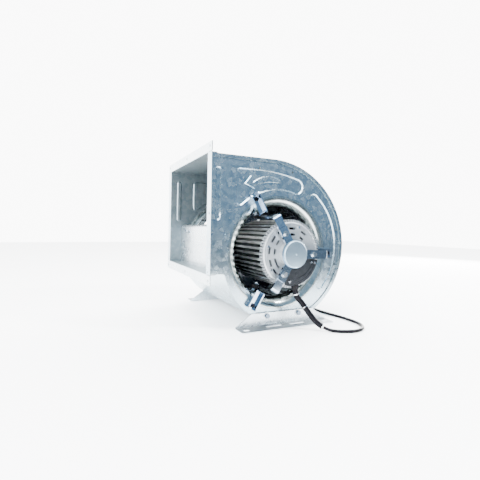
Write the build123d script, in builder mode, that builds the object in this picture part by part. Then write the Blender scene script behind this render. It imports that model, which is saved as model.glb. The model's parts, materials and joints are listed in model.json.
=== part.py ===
from build123d import *
import math
import os

# Double-inlet centrifugal blower with forward-curved wheel and direct drive. Millimetres, +Z up.
# The shaft runs along Y, the motor side faces -Y and the outlet faces -X. The origin is the
# centre of the foot slots, on the floor. Side views use shaft-centred coordinates (u, v), where
# u = x - SHAFT_X and v = z - SHAFT_Z, and angles run anticlockwise as seen from the motor side.

# ---- driving dimensions -------------------------------------------------------------------
SHAFT_X = -10.0
SHAFT_Z = 164.0

HALF_WIDTH = 149.0  # outer faces of the side plates
PLATE_T = 1.2
WRAP_T = 1.0
SEAM_T = 2.5  # folded seam, proud of the side plates
SEAM_W = 8.0
SCROLL_R0 = 143.3  # scroll radius at its start
SCROLL_GROWTH = 0.0875  # per radian
SCROLL_START = -162.5
SCROLL_END = 95.0
LIP_V = -44.0  # lower wall of the outlet
OUTLET_U = -177.0

FLANGE_W = 20.0
FLANGE_T = 2.0
FLANGE_HALF = 170.0
FLANGE_HOLE_R = 3.5
FLANGE_HOLE_Y = 160.0
STRIP_HOLE_R = 2.2

CUTOFF_U = -144.0
CUTOFF_NOSE_R = 10.0
CUTOFF_NOSE_V = 50.7
CUTOFF_T = 1.2

PRESS_DEPTH = 2.5
ARROW_SLOPE = 1.6
THROAT_R = 104.5
MOUTH_R = 127.0
RING_T = 1.0
RING_END_Y = 124.0
RING_FLANGE_R = 131.5

FOOT_T = 2.0
FOOT_HALF = 120.0
FOOT_TOP_HALF = 81.7
FOOT_H = 29.8
FOOT_OUT = 187.0
FOOT_SCREW_X = 42.0
FOOT_SCREW_Z = 22.5
SLOT_X = 103.0
SLOT_Y = 172.0
SLOT_LENGTH = 14.0
SLOT_WIDTH = 8.0
LONG_SLOT_X = 31.0
LONG_SLOT_Y = 164.0
LONG_SLOT_LENGTH = 40.0

ARMS = {"upper": 118.5, "right": -1.5, "lower": -121.5}
ARM_W = 19.0
ARM_T = 3.0
SPIDER_FRONT = 211.5  # distance of the spider plate's face from the middle plane
SPIDER_T = 2.5
HUB_R = 30.0  # boss of the end shield behind the spider plate
SPIDER_R = 31.0
CAP_R = 29.3
CAP_FACE = 217.5
CAP_SHEET = 1.4
LUG_END_R = 65.0
HUB_SCREW_R = 22.0
HUB_SCREW_ANGLE = 58.5
LUG_BOLT_R = 49.5
STRAP_R = 91.5
STRAP_END = 112.0
CLIP_W = 22.0
CLIP_T = 2.5
CLIP_ENDS = {"upper": 147.5, "right": 147.5, "lower": 143.0}  # radius of their outer ends
CLIP_BOLT_R = 134.5
CLIP_LEG_R = 98.0
ISOLATOR_R = 8.0
ISOLATOR_Y = 124.0
M6_HOLE_R = 3.2
M5_HOLE_R = 2.8

MOTOR_R = 69.5
FIN_R = 74.0
FIN_COUNT = 40
FIN_W = 5.2
TOOTH_COUNT = 72
MOTOR_FRONT = 189.0
MOTOR_BACK = 45.0
BORE_R = 64.0
SHAFT_R = 6.0

WHEEL_R = 121.0
WHEEL_HALF = 120.0
BLADE_IN_R = 106.0
BLADE_OUT_R = 120.0
BLADE_COUNT = 42
BLADE_T = 0.8
DISC_T = 1.5

SLEEVE_D = 12.5
LEAD_D = 7.0
LEAD_ANGLE = -82.0
LEAD_Y = -198.0
COIL_X = 115.0
COIL_Y = 20.0

SHAFT = (SHAFT_X, 0, SHAFT_Z)
SHAFT_AXIS = Axis(SHAFT, (0, 1, 0))
SIDE = Plane(origin=SHAFT, x_dir=(1, 0, 0), z_dir=(0, -1, 0))
SECTION = Plane(origin=SHAFT, x_dir=(1, 0, 0), z_dir=(0, 0, 1))
OUTLET = Plane(origin=(SHAFT_X + OUTLET_U, 0, SHAFT_Z), x_dir=(0, -1, 0), z_dir=(-1, 0, 0))
TOP_V = SCROLL_R0 * math.exp(SCROLL_GROWTH * math.radians(SCROLL_END - SCROLL_START))
TOP_V = TOP_V * math.sin(math.radians(SCROLL_END))

os.makedirs("parts", exist_ok=True)


def polar(radius, angle):
    return (radius * math.cos(math.radians(angle)), radius * math.sin(math.radians(angle)))


def at_shaft(radius, angle, y):
    u, v = polar(radius, angle)
    return (SHAFT_X + u, y, SHAFT_Z + v)


def arm_plane(angle):
    """Half section through the shaft at an arm: x is the radius, y is the model's Y."""
    u, v = polar(1, angle)
    return Plane(origin=SHAFT, x_dir=(u, 0, v), z_dir=(-v, 0, u))


def radial_plane(radius, angle, y):
    """Plane across a radius, its normal pointing away from the shaft."""
    u, v = polar(1, angle)
    return Plane(origin=at_shaft(radius, angle, y), x_dir=(0, 1, 0), z_dir=(u, 0, v))


def scroll_radius(angle):
    return SCROLL_R0 * math.exp(SCROLL_GROWTH * math.radians(angle - SCROLL_START))


def save(builder, name):
    builder.part.label = name
    export_step(builder.part, f"parts/{name}.step")


# ---- scroll outline -----------------------------------------------------------------------
def scroll_face(inset):
    """Side view of the scroll inside its rim, drawn in by an inset, as far as the outlet."""
    lean = math.degrees(math.atan(SCROLL_GROWTH))
    first = SCROLL_START + 2.3
    count = 32
    rim = []
    for i in range(count + 1):
        angle = first + (SCROLL_END - first) * i / count
        u, v = polar(scroll_radius(angle), angle)
        inward_u, inward_v = polar(inset, angle - lean)
        rim.append((u - inward_u, v - inward_v))
    corner_tan = math.tan(math.radians(first + 90 - lean) / 2)
    lip = LIP_V + inset
    lip_end = rim[0][0] - (rim[0][1] - lip) / corner_tan
    with BuildSketch(mode=Mode.PRIVATE) as face:
        with BuildLine():
            Line((OUTLET_U, lip), (lip_end, lip))
            TangentArc((lip_end, lip), rim[0], tangent=(1, 0))
            for start, middle, end in zip(rim[::2], rim[1::2], rim[2::2]):
                ThreePointArc(start, middle, end)
            Polyline(rim[-1], (OUTLET_U, rim[-1][1]), (OUTLET_U, lip))
        make_face()
    return face.sketch


RIM = scroll_face(0)
INSIDE = scroll_face(WRAP_T)
BAND = scroll_face(SEAM_W)


# ---- pressed shapes of the side plates ------------------------------------------------------
def outlet_panel():
    with BuildSketch(mode=Mode.PRIVATE) as panel:
        with Locations((-153, 127)):
            SlotOverall(114, 12.5, rotation=90)
    return panel.sketch


def arrow_panel():
    inner_r = 142.0
    end_r = 18.0
    end_angle = 73.0
    corner = 9.0
    end_u, end_v = polar(inner_r + end_r, end_angle)
    cap_u, cap_v = polar(end_r, end_angle - 90)
    run_end = 128.0
    run_u, run_v = polar(inner_r, run_end)
    fall_u, fall_v = polar(1, run_end + 90)
    side_u = -111.0
    fall = (run_u - side_u - corner + corner * fall_v) / -fall_u
    foot = (run_u + fall * fall_u, run_v + fall * fall_v)
    side_v = foot[1] - corner * fall_u
    with BuildSketch(mode=Mode.PRIVATE) as panel:
        with BuildLine():
            Line((side_u, side_v), (side_u, 177))
            TangentArc((side_u, 177), (side_u + 8.5, 185.5), tangent=(0, 1))
            Line((side_u + 8.5, 185.5), (-55, 185.5))
            TangentArc((-55, 185.5), polar(inner_r + 2 * end_r, end_angle), tangent=(1, 0))
            ThreePointArc(
                polar(inner_r + 2 * end_r, end_angle),
                (end_u + cap_u, end_v + cap_v),
                polar(inner_r, end_angle),
            )
            ThreePointArc(polar(inner_r, end_angle), polar(inner_r, 100), (run_u, run_v))
            Line((run_u, run_v), foot)
            TangentArc(foot, (side_u, side_v), tangent=(fall_u, fall_v))
        make_face()
    return panel.sketch


def crescent_panel():
    with BuildSketch(mode=Mode.PRIVATE) as panel:
        with BuildLine():
            ThreePointArc(polar(171.5, 50), polar(165, 8), polar(153, -34))
            ThreePointArc(polar(153, -34), polar(144, -39), polar(133, -35))
            ThreePointArc(polar(133, -35), polar(138, 6), polar(143, 50))
            ThreePointArc(polar(143, 50), polar(158, 57.5), polar(171.5, 50))
        make_face()
    return panel.sketch


def arrow():
    with BuildSketch(mode=Mode.PRIVATE) as shape:
        with BuildLine():
            Polyline((-90.9, 151.8), (-74.7, 171.8), (-68.6, 157.6))
            ThreePointArc((-68.6, 157.6), (-35, 171.5), (1, 166))
            Line((1, 166), (1, 157))
            ThreePointArc((1, 157), (-33, 157.5), (-66.5, 148))
            Polyline((-66.5, 148), (-65.1, 141.4), (-90.9, 151.8))
        make_face()
    return shape.sketch


PANELS = [outlet_panel(), arrow_panel(), crescent_panel()]
SMALL_HOLES = [(-53.5, 188.9), (34.2, 186.1), (167.3, 53.0), (162.4, -32.6)]
DIMPLE = (-134.4, 37.6)
FOOT_SCREWS = [(x - SHAFT_X, FOOT_SCREW_Z - SHAFT_Z) for x in (-FOOT_SCREW_X, FOOT_SCREW_X)]

# ---- side plates ----------------------------------------------------------------------------
with BuildPart() as side_plate_motor_side:
    with BuildSketch(SIDE.offset(HALF_WIDTH)):
        add(INSIDE)
        Circle(MOUTH_R + 1.6, mode=Mode.SUBTRACT)
    extrude(amount=-PLATE_T)
    # the plate's own edge, bent outward as the side of the outlet flange
    with BuildSketch(OUTLET):
        with Locations((HALF_WIDTH - PLATE_T, LIP_V + WRAP_T)):
            Rectangle(
                FLANGE_HALF - HALF_WIDTH + PLATE_T,
                TOP_V - LIP_V - 2 * WRAP_T,
                align=(Align.MIN, Align.MIN),
            )
    extrude(amount=-PLATE_T)
    # pans of the pressed panels, then their hollows
    for panel in PANELS:
        with BuildSketch(SIDE.offset(HALF_WIDTH - PLATE_T)):
            add(panel)
        extrude(amount=-PRESS_DEPTH, taper=45)
    for panel in PANELS:
        with BuildSketch(SIDE.offset(HALF_WIDTH)):
            add(panel)
        extrude(amount=-PRESS_DEPTH, taper=45, mode=Mode.SUBTRACT)
    # the arrow stands up inside its panel
    with BuildSketch(SIDE.offset(HALF_WIDTH - PRESS_DEPTH)):
        add(arrow())
    extrude(amount=PRESS_DEPTH)
    arrow_top = faces(Select.LAST).filter_by(Axis.Y).sort_by(Axis.Y)[0]
    chamfer(arrow_top.edges(), length=ARROW_SLOPE)
    # flat land under the right-hand mount clip
    with BuildSketch(SIDE.offset(HALF_WIDTH)):
        with PolarLocations(MOUTH_R + 13, 1, ARMS["right"]):
            Rectangle(18, CLIP_W + 4)
    extrude(amount=-PLATE_T - PRESS_DEPTH)
    # bosses behind the feet, as thick as the seam
    with BuildSketch(SIDE.offset(HALF_WIDTH)):
        with Locations(*FOOT_SCREWS):
            Circle(9)
        add(BAND, mode=Mode.INTERSECT)
    extrude(amount=SEAM_T)
    with BuildSketch(SIDE.offset(HALF_WIDTH)):
        with Locations(DIMPLE):
            Circle(3.2)
    extrude(amount=1.2, taper=30)
    with BuildSketch(SIDE.offset(HALF_WIDTH + SEAM_T)):
        with Locations(*SMALL_HOLES):
            Circle(2.5)
        with Locations(*FOOT_SCREWS):
            Circle(M6_HOLE_R)
        for angle in ARMS.values():
            with PolarLocations(CLIP_BOLT_R, 1, angle):
                Circle(M6_HOLE_R)
    extrude(amount=-SEAM_T - PLATE_T - PRESS_DEPTH - 1, mode=Mode.SUBTRACT)
    with BuildSketch(OUTLET):
        with Locations((FLANGE_HOLE_Y, (TOP_V + LIP_V) / 2)):
            Circle(FLANGE_HOLE_R)
        with Locations((FLANGE_HOLE_Y - 4, LIP_V + 6)):
            Circle(STRIP_HOLE_R)
    extrude(amount=-PLATE_T, mode=Mode.SUBTRACT)

with BuildPart() as side_plate_far_side:
    mirror(side_plate_motor_side.part, about=Plane.XZ)

save(side_plate_motor_side, "side_plate_motor_side")
save(side_plate_far_side, "side_plate_far_side")

# ---- scroll wrapper -------------------------------------------------------------------------
LANCE_ANGLES = [119.7, 104.7] + [88 - 18.2 * i for i in range(9)]


def rim_point(angle, depth):
    """Point below the rim's outer face, and the direction of the rim there."""
    if angle > SCROLL_END:
        return ((TOP_V - depth) / math.tan(math.radians(angle)), TOP_V - depth), 0
    return polar(scroll_radius(angle) - depth, angle), angle - 85


with BuildPart() as scroll_wrapper:
    with BuildSketch(SIDE.offset(HALF_WIDTH + SEAM_T)):
        add(RIM)
        add(INSIDE, mode=Mode.SUBTRACT)
    extrude(amount=-2 * (HALF_WIDTH + SEAM_T))
    for side in (-HALF_WIDTH - SEAM_T, HALF_WIDTH):
        with BuildSketch(SIDE.offset(side)):
            add(RIM)
            add(BAND, mode=Mode.SUBTRACT)
            with Locations((OUTLET_U + 2.5, 0)):
                Rectangle(20, 900, align=(Align.MAX, Align.CENTER), mode=Mode.SUBTRACT)
        extrude(amount=SEAM_T)
    # lances that lock the folded seam
    for side in (-1, 1):
        with BuildSketch(SIDE.offset(side * (HALF_WIDTH + SEAM_T))):
            for angle in LANCE_ANGLES:
                point, direction = rim_point(angle, SEAM_W * 0.55)
                with Locations(Location((*point, 0), direction)):
                    SlotOverall(7, 1.8)
        extrude(amount=-0.8 * side, mode=Mode.SUBTRACT)
save(scroll_wrapper, "scroll_wrapper")

# ---- outlet flange angles -------------------------------------------------------------------
RIVETS = [(0, y) for y in (-110, 0, 110)]
RIVET_R = 2.0
RIVET_HEAD_R = 3.6
RIVET_U = OUTLET_U + FLANGE_W - 7
HOLE_RISE = 11.0  # from the outlet's edge to the holes of the angles
HOLE_YS = [-FLANGE_HOLE_Y, 0, FLANGE_HOLE_Y]


def rivet_plane(edge, away):
    origin = (SHAFT_X + RIVET_U, 0, SHAFT_Z + edge + away * FLANGE_T)
    return Plane(origin=origin, z_dir=(0, 0, away))


def flange_angle(edge, away):
    """Angle along one edge of the outlet; away is 1 upward and -1 downward."""
    leg_v = edge + away * FLANGE_W / 2
    with BuildPart() as angle:
        with BuildSketch(OUTLET):
            with Locations((0, leg_v)):
                Rectangle(2 * FLANGE_HALF, FLANGE_W)
            with Locations(*[(y, edge + away * HOLE_RISE) for y in HOLE_YS]):
                Circle(FLANGE_HOLE_R, mode=Mode.SUBTRACT)
        extrude(amount=-FLANGE_T)
        with BuildSketch(OUTLET):
            with Locations((0, edge + away * FLANGE_T / 2)):
                Rectangle(2 * (HALF_WIDTH + SEAM_T), FLANGE_T)
        extrude(amount=-FLANGE_W)
        with BuildSketch(rivet_plane(edge, away)):
            with Locations(*RIVETS):
                Circle(RIVET_R)
        extrude(amount=-FLANGE_T, mode=Mode.SUBTRACT)
    return angle


flange_angle_top = flange_angle(TOP_V, 1)
flange_angle_bottom = flange_angle(LIP_V, -1)
save(flange_angle_top, "flange_angle_top")
save(flange_angle_bottom, "flange_angle_bottom")

with BuildPart() as flange_rivets:
    for edge, away in ((TOP_V, 1), (LIP_V, -1)):
        with BuildSketch(rivet_plane(edge, away)):
            with Locations(*RIVETS):
                Circle(RIVET_HEAD_R)
        extrude(amount=1.4, taper=35)
        with BuildSketch(rivet_plane(edge, away)):
            with Locations(*RIVETS):
                Circle(RIVET_R)
        extrude(amount=-FLANGE_T)
save(flange_rivets, "flange_rivets")

# ---- cut-off plate --------------------------------------------------------------------------
CUTOFF_HALF = HALF_WIDTH - PLATE_T - RING_T
nose_centre = (CUTOFF_U + CUTOFF_NOSE_R, CUTOFF_NOSE_V)
reach = math.hypot(*nose_centre)
toward = (nose_centre[0] / reach, nose_centre[1] / reach)
nose_end = (nose_centre[0] - toward[0] * CUTOFF_NOSE_R, nose_centre[1] - toward[1] * CUTOFF_NOSE_R)
nose_top = (nose_centre[0], nose_centre[1] + CUTOFF_NOSE_R)
lip_top = LIP_V + WRAP_T
cutoff_foot = (-136.2, lip_top)
CUTOFF_SCREW_R = 2.0
CUTOFF_HEAD = 2.2
CUTOFF_SCREWS = [(-102.5, 43.0), (-73.0, 41.0), (73.0, 41.0), (102.5, 43.0)]

with BuildPart() as cutoff_plate:
    with BuildSketch(SIDE.offset(CUTOFF_HALF)):
        with BuildLine():
            Line((CUTOFF_U, lip_top), (CUTOFF_U, CUTOFF_NOSE_V))
            ThreePointArc((CUTOFF_U, CUTOFF_NOSE_V), nose_top, nose_end)
            TangentArc(nose_end, cutoff_foot, tangent=(-toward[1], toward[0]))
            Line(cutoff_foot, (CUTOFF_U, lip_top))
        make_face()
        offset(amount=-CUTOFF_T, mode=Mode.SUBTRACT)
    extrude(amount=-2 * CUTOFF_HALF)
    with BuildSketch(OUTLET.offset(OUTLET_U - CUTOFF_U)):
        with Locations(*CUTOFF_SCREWS):
            Circle(CUTOFF_SCREW_R)
    extrude(amount=-CUTOFF_T, mode=Mode.SUBTRACT)
save(cutoff_plate, "cutoff_plate")

with BuildPart() as cutoff_screws:
    with BuildSketch(OUTLET.offset(OUTLET_U - CUTOFF_U)):
        with Locations(*CUTOFF_SCREWS):
            Circle(4)
    extrude(amount=CUTOFF_HEAD, taper=25)
    with BuildSketch(OUTLET.offset(OUTLET_U - CUTOFF_U + CUTOFF_HEAD)):
        with Locations(*CUTOFF_SCREWS):
            Rectangle(4, 1)
            Rectangle(1, 4)
    extrude(amount=-1, mode=Mode.SUBTRACT)
    with BuildSketch(OUTLET.offset(OUTLET_U - CUTOFF_U)):
        with Locations(*CUTOFF_SCREWS):
            Circle(CUTOFF_SCREW_R)
    extrude(amount=-4)
save(cutoff_screws, "cutoff_screws")

# ---- inlet rings ----------------------------------------------------------------------------
with BuildPart() as inlet_ring_motor_side:
    back = HALF_WIDTH - PLATE_T
    curve_r = MOUTH_R - THROAT_R
    curve_y = -HALF_WIDTH + curve_r
    with BuildSketch(SECTION):
        with BuildLine():
            Polyline(
                (RING_FLANGE_R, -back),
                (MOUTH_R + 1.6, -back),
                (MOUTH_R + 1.0, -HALF_WIDTH),
                (MOUTH_R, -HALF_WIDTH),
            )
            RadiusArc((MOUTH_R, -HALF_WIDTH), (THROAT_R, curve_y), curve_r)
            Polyline(
                (THROAT_R, curve_y),
                (THROAT_R, -RING_END_Y),
                (THROAT_R + RING_T, -RING_END_Y),
                (THROAT_R + RING_T, curve_y),
            )
            RadiusArc(
                (THROAT_R + RING_T, curve_y), (MOUTH_R, -HALF_WIDTH + RING_T), -curve_r + RING_T
            )
            Polyline(
                (MOUTH_R, -HALF_WIDTH + RING_T),
                (MOUTH_R + 0.6, -back + RING_T),
                (RING_FLANGE_R, -back + RING_T),
                (RING_FLANGE_R, -back),
            )
        make_face()
    revolve(axis=SHAFT_AXIS)

with BuildPart() as inlet_ring_far_side:
    mirror(inlet_ring_motor_side.part, about=Plane.XZ)

save(inlet_ring_motor_side, "inlet_ring_motor_side")
save(inlet_ring_far_side, "inlet_ring_far_side")

# ---- feet -----------------------------------------------------------------------------------
FOOT_FACE = HALF_WIDTH + SEAM_T
FOOT_SIDE = Plane(origin=(0, -FOOT_FACE, 0), x_dir=(1, 0, 0), z_dir=(0, -1, 0))

with BuildPart() as foot_motor_side:
    with BuildSketch(FOOT_SIDE):
        with BuildLine():
            Polyline(
                (-FOOT_HALF, 0),
                (FOOT_HALF, 0),
                (FOOT_HALF, 4),
                (FOOT_TOP_HALF, FOOT_H),
                (-FOOT_TOP_HALF, FOOT_H),
                (-FOOT_HALF, 4),
                close=True,
            )
        make_face()
        with Locations((-FOOT_SCREW_X, FOOT_SCREW_Z), (FOOT_SCREW_X, FOOT_SCREW_Z)):
            Circle(M6_HOLE_R, mode=Mode.SUBTRACT)
    extrude(amount=FOOT_T)
    with BuildSketch(Plane.XY):
        with Locations((0, -FOOT_FACE)):
            Rectangle(2 * FOOT_HALF, FOOT_OUT - FOOT_FACE, align=(Align.CENTER, Align.MAX))
        with Locations((-SLOT_X, -SLOT_Y), (SLOT_X, -SLOT_Y)):
            SlotOverall(SLOT_LENGTH, SLOT_WIDTH, mode=Mode.SUBTRACT)
        with Locations((-LONG_SLOT_X, -LONG_SLOT_Y), (LONG_SLOT_X, -LONG_SLOT_Y)):
            SlotOverall(LONG_SLOT_LENGTH, SLOT_WIDTH, mode=Mode.SUBTRACT)
    extrude(amount=FOOT_T)
    long_edges = foot_motor_side.edges().filter_by(Axis.X).filter_by(lambda e: e.length > 2 * FOOT_HALF - 1)
    heel = long_edges.filter_by(lambda e: abs(e.center().Y + FOOT_FACE) < 0.01 and e.center().Z < 0.01)
    crease = long_edges.filter_by(lambda e: abs(e.center().Y + FOOT_FACE + FOOT_T) < 0.01)
    fillet(heel, radius=2.8)
    fillet(crease, radius=1.0)
    corners = foot_motor_side.edges().filter_by(Axis.Z).group_by(Axis.Y)[0]
    fillet(corners, radius=4)

with BuildPart() as foot_far_side:
    mirror(foot_motor_side.part, about=Plane.XZ)

save(foot_motor_side, "foot_motor_side")
save(foot_far_side, "foot_far_side")


def hex_screw(plane, flats, head, shank_r, length):
    """Hexagon screw at the plane's origin; the head stands on the plane, the shank goes back."""
    with BuildSketch(plane) as hexagon:
        RegularPolygon(flats / 2, 6, major_radius=False)
    extrude(hexagon.sketch, amount=head)
    with BuildSketch(plane) as shank:
        Circle(shank_r)
    extrude(shank.sketch, amount=-length)


with BuildPart() as foot_screws:
    for side in (-1, 1):
        for x in (-FOOT_SCREW_X, FOOT_SCREW_X):
            place = (x, side * (FOOT_FACE + FOOT_T), FOOT_SCREW_Z)
            hex_screw(Plane(origin=place, x_dir=(1, 0, 0), z_dir=(0, side, 0)), 10, 4, 3, 12)
save(foot_screws, "foot_screws")


# ---- motor bracket --------------------------------------------------------------------------
STRAP_BACK = SPIDER_FRONT - SPIDER_T  # outer face of the straps' radial legs
BEND = 6.0


def strap(angle):
    inner_r = HUB_R + 3
    with BuildPart() as bent:
        with BuildSketch(arm_plane(angle)):
            with BuildLine():
                Line((inner_r, -STRAP_BACK), (STRAP_R - BEND, -STRAP_BACK))
                RadiusArc((STRAP_R - BEND, -STRAP_BACK), (STRAP_R, -STRAP_BACK + BEND), -BEND)
                Polyline(
                    (STRAP_R, -STRAP_BACK + BEND),
                    (STRAP_R, -STRAP_END),
                    (STRAP_R - ARM_T, -STRAP_END),
                    (STRAP_R - ARM_T, -STRAP_BACK + BEND),
                )
                RadiusArc(
                    (STRAP_R - ARM_T, -STRAP_BACK + BEND),
                    (STRAP_R - BEND, -STRAP_BACK + ARM_T),
                    BEND - ARM_T,
                )
                Polyline(
                    (STRAP_R - BEND, -STRAP_BACK + ARM_T),
                    (inner_r, -STRAP_BACK + ARM_T),
                    (inner_r, -STRAP_BACK),
                )
            make_face()
        extrude(amount=ARM_W / 2, both=True)
        with BuildSketch(radial_plane(STRAP_R, angle, -ISOLATOR_Y)):
            Circle(M6_HOLE_R)
        extrude(amount=-ARM_T, mode=Mode.SUBTRACT)
        with BuildSketch(SIDE.offset(STRAP_BACK)):
            with PolarLocations(LUG_BOLT_R, 1, angle):
                Circle(M5_HOLE_R)
        extrude(amount=-ARM_T, mode=Mode.SUBTRACT)
    return bent


def mount_clip(angle, end_r):
    leg_r = CLIP_LEG_R + CLIP_T
    bend = 4.0
    wall_from = CLIP_LEG_R + 0.5
    base_y = -HALF_WIDTH - CLIP_T
    with BuildPart() as channel:
        with BuildSketch(arm_plane(angle)):
            with BuildLine():
                Line((end_r, base_y), (CLIP_LEG_R + bend, base_y))
                RadiusArc((CLIP_LEG_R + bend, base_y), (CLIP_LEG_R, base_y + bend), bend)
                Polyline(
                    (CLIP_LEG_R, base_y + bend),
                    (CLIP_LEG_R, -ISOLATOR_Y + 9),
                    (leg_r, -ISOLATOR_Y + 9),
                    (leg_r, base_y + bend),
                )
                RadiusArc((leg_r, base_y + bend), (CLIP_LEG_R + bend, -HALF_WIDTH), -bend + CLIP_T)
                Polyline(
                    (CLIP_LEG_R + bend, -HALF_WIDTH), (end_r, -HALF_WIDTH), (end_r, base_y)
                )
            make_face()
        extrude(amount=CLIP_W / 2, both=True)
        # side walls of the channel
        for side in (-CLIP_W / 2, CLIP_W / 2 - CLIP_T):
            with BuildSketch(arm_plane(angle).offset(side)):
                with BuildLine():
                    Polyline(
                        (end_r, base_y + 0.5),
                        (end_r, -158),
                        (end_r - 3, -161),
                        (wall_from + 3, -161),
                        (wall_from, -158),
                        (wall_from, base_y + bend),
                        (wall_from + bend, base_y + 0.5),
                        close=True,
                    )
                make_face()
            extrude(amount=CLIP_T)
        with BuildSketch(radial_plane(leg_r, angle, -ISOLATOR_Y)):
            Circle(M6_HOLE_R)
        extrude(amount=-CLIP_T, mode=Mode.SUBTRACT)
        with BuildSketch(SIDE.offset(-base_y)):
            with PolarLocations(CLIP_BOLT_R, 1, angle):
                Circle(M6_HOLE_R)
        extrude(amount=-CLIP_T, mode=Mode.SUBTRACT)
    return channel


def isolator(angle):
    gap = CLIP_LEG_R - STRAP_R
    with BuildPart() as bush:
        with BuildSketch(radial_plane(STRAP_R, angle, -ISOLATOR_Y)):
            Circle(ISOLATOR_R)
            Circle(3, mode=Mode.SUBTRACT)
        extrude(amount=gap)
    return bush


for place, angle in ARMS.items():
    save(strap(angle), f"arm_strap_{place}")
    save(mount_clip(angle, CLIP_ENDS[place]), f"mount_clip_{place}")
    save(isolator(angle), f"isolator_{place}")

with BuildPart() as clip_bolts:
    for angle in ARMS.values():
        seat = Plane(
            origin=at_shaft(CLIP_BOLT_R, angle, -HALF_WIDTH - CLIP_T), x_dir=(1, 0, 0), z_dir=(0, -1, 0)
        )
        with BuildSketch(seat):
            Circle(5)
        extrude(amount=5)
        with BuildSketch(seat.offset(5)):
            RegularPolygon(2.5, 6, major_radius=False)
        extrude(amount=-3, mode=Mode.SUBTRACT)
        with BuildSketch(seat):
            Circle(3)
        extrude(amount=-14)
        with BuildSketch(seat.offset(-CLIP_T - PLATE_T - PRESS_DEPTH)):
            RegularPolygon(5, 6, major_radius=False)
        extrude(amount=-5)
save(clip_bolts, "clip_bolts")

with BuildPart() as isolator_bolts:
    for angle in ARMS.values():
        hex_screw(radial_plane(CLIP_LEG_R + CLIP_T, angle, -ISOLATOR_Y), 9, 2.6, 3, 17)
        with BuildSketch(radial_plane(STRAP_R - ARM_T, angle, -ISOLATOR_Y)):
            RegularPolygon(5, 6, major_radius=False)
        extrude(amount=-4)
save(isolator_bolts, "isolator_bolts")

with BuildPart() as spider_plate:
    with BuildSketch(SIDE.offset(SPIDER_FRONT)):
        Circle(SPIDER_R)
        for angle in ARMS.values():
            with PolarLocations(LUG_END_R / 2, 1, angle):
                Rectangle(LUG_END_R, ARM_W + 0.5)
        lug_corners = vertices().filter_by(lambda v: math.hypot(v.X, v.Y) > LUG_END_R - 1)
        fillet(lug_corners, radius=3)
        for angle in ARMS.values():
            with PolarLocations(LUG_BOLT_R, 1, angle):
                Circle(M5_HOLE_R, mode=Mode.SUBTRACT)
        with PolarLocations(HUB_SCREW_R, 3, HUB_SCREW_ANGLE):
            Circle(2.6, mode=Mode.SUBTRACT)
    extrude(amount=-SPIDER_T)
save(spider_plate, "spider_plate")

with BuildPart() as lug_bolts:
    for angle in ARMS.values():
        seat = Plane(origin=at_shaft(LUG_BOLT_R, angle, -SPIDER_FRONT), x_dir=(1, 0, 0), z_dir=(0, -1, 0))
        hex_screw(seat, 8, 4, 2.5, 9)
        with BuildSketch(seat):
            Circle(6.8)
        extrude(amount=1.2)
        with BuildSketch(seat.offset(-SPIDER_T - ARM_T)):
            RegularPolygon(4, 6, major_radius=False)
        extrude(amount=-3.2)
save(lug_bolts, "lug_bolts")

with BuildPart() as hub_screws:
    with BuildSketch(SIDE.offset(SPIDER_FRONT)):
        with PolarLocations(HUB_SCREW_R, 3, HUB_SCREW_ANGLE):
            Circle(4)
    extrude(amount=1.2)
    with BuildSketch(SIDE.offset(SPIDER_FRONT)):
        with PolarLocations(HUB_SCREW_R, 3, HUB_SCREW_ANGLE):
            Circle(2.5)
    extrude(amount=-9)
save(hub_screws, "hub_screws")

cap_groove = (CAP_R - 2.4, 1.3 - CAP_FACE)
cap_inside = (CAP_R - 2.6, 3.0 - CAP_FACE)
with BuildPart() as hub_cap:
    with BuildSketch(SECTION):
        with BuildLine():
            Polyline((0, CAP_SHEET - CAP_FACE), (0, -CAP_FACE))
            TangentArc((0, -CAP_FACE), cap_groove, tangent=(1, 0))
            Polyline(
                cap_groove,
                (CAP_R - 1.6, 0.9 - CAP_FACE),
                (CAP_R, 2.4 - CAP_FACE),
                (CAP_R, -SPIDER_FRONT),
                (CAP_R - CAP_SHEET, -SPIDER_FRONT),
                cap_inside,
            )
            Spline(cap_inside, (CAP_R / 2, 1.9 - CAP_FACE), (0, CAP_SHEET - CAP_FACE))
        make_face()
    revolve(axis=SHAFT_AXIS)
save(hub_cap, "hub_cap")

# ---- motor ----------------------------------------------------------------------------------
END_FACE = 197.5
TOOTH_FRONT = 195.5
BEARING_OUT_R = 16.0
BALL_GAP_R = 12.5
SHIELD_IN_R = 9.6
RACE_R = 9.5
BEARING_W = 10.0
POCKET_END = 206.0  # bottom of the outer bearing's pocket
BEARING_FRONTS = [204.5, 56.0]
CORE_Y = (-165.0, -75.0)
LEAD_HOLE_R = 3.4
RELIEF_R = 7.6
RELIEF_FROM_R = 69.6
RELIEF_TO_R = 78.0
SHIELD_SCREW_R = 2.2
SHIELD_SCREWS = [(60.5, 72), (60.5, 165), (60.5, -50), (60.5, -147)]
LEAD_EXIT = radial_plane(50, LEAD_ANGLE, LEAD_Y)

with BuildPart() as motor_frame:
    with BuildSketch(SIDE.offset(MOTOR_FRONT)):
        Circle(MOTOR_R)
        with PolarLocations((MOTOR_R + FIN_R) / 2 - 1, FIN_COUNT):
            Rectangle(FIN_R - MOTOR_R + 2, FIN_W)
        Circle(BORE_R, mode=Mode.SUBTRACT)
    extrude(amount=MOTOR_BACK - MOTOR_FRONT)
save(motor_frame, "motor_frame")


def sector(outer_r, inner_r, start, sweep):
    with BuildSketch(mode=Mode.PRIVATE) as shape:
        with BuildLine():
            CenterArc((0, 0), outer_r, start, sweep)
            Line(polar(outer_r, start + sweep), polar(inner_r, start + sweep))
            CenterArc((0, 0), inner_r, start, sweep)
            Line(polar(inner_r, start), polar(outer_r, start))
        make_face()
    return shape.sketch


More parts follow.
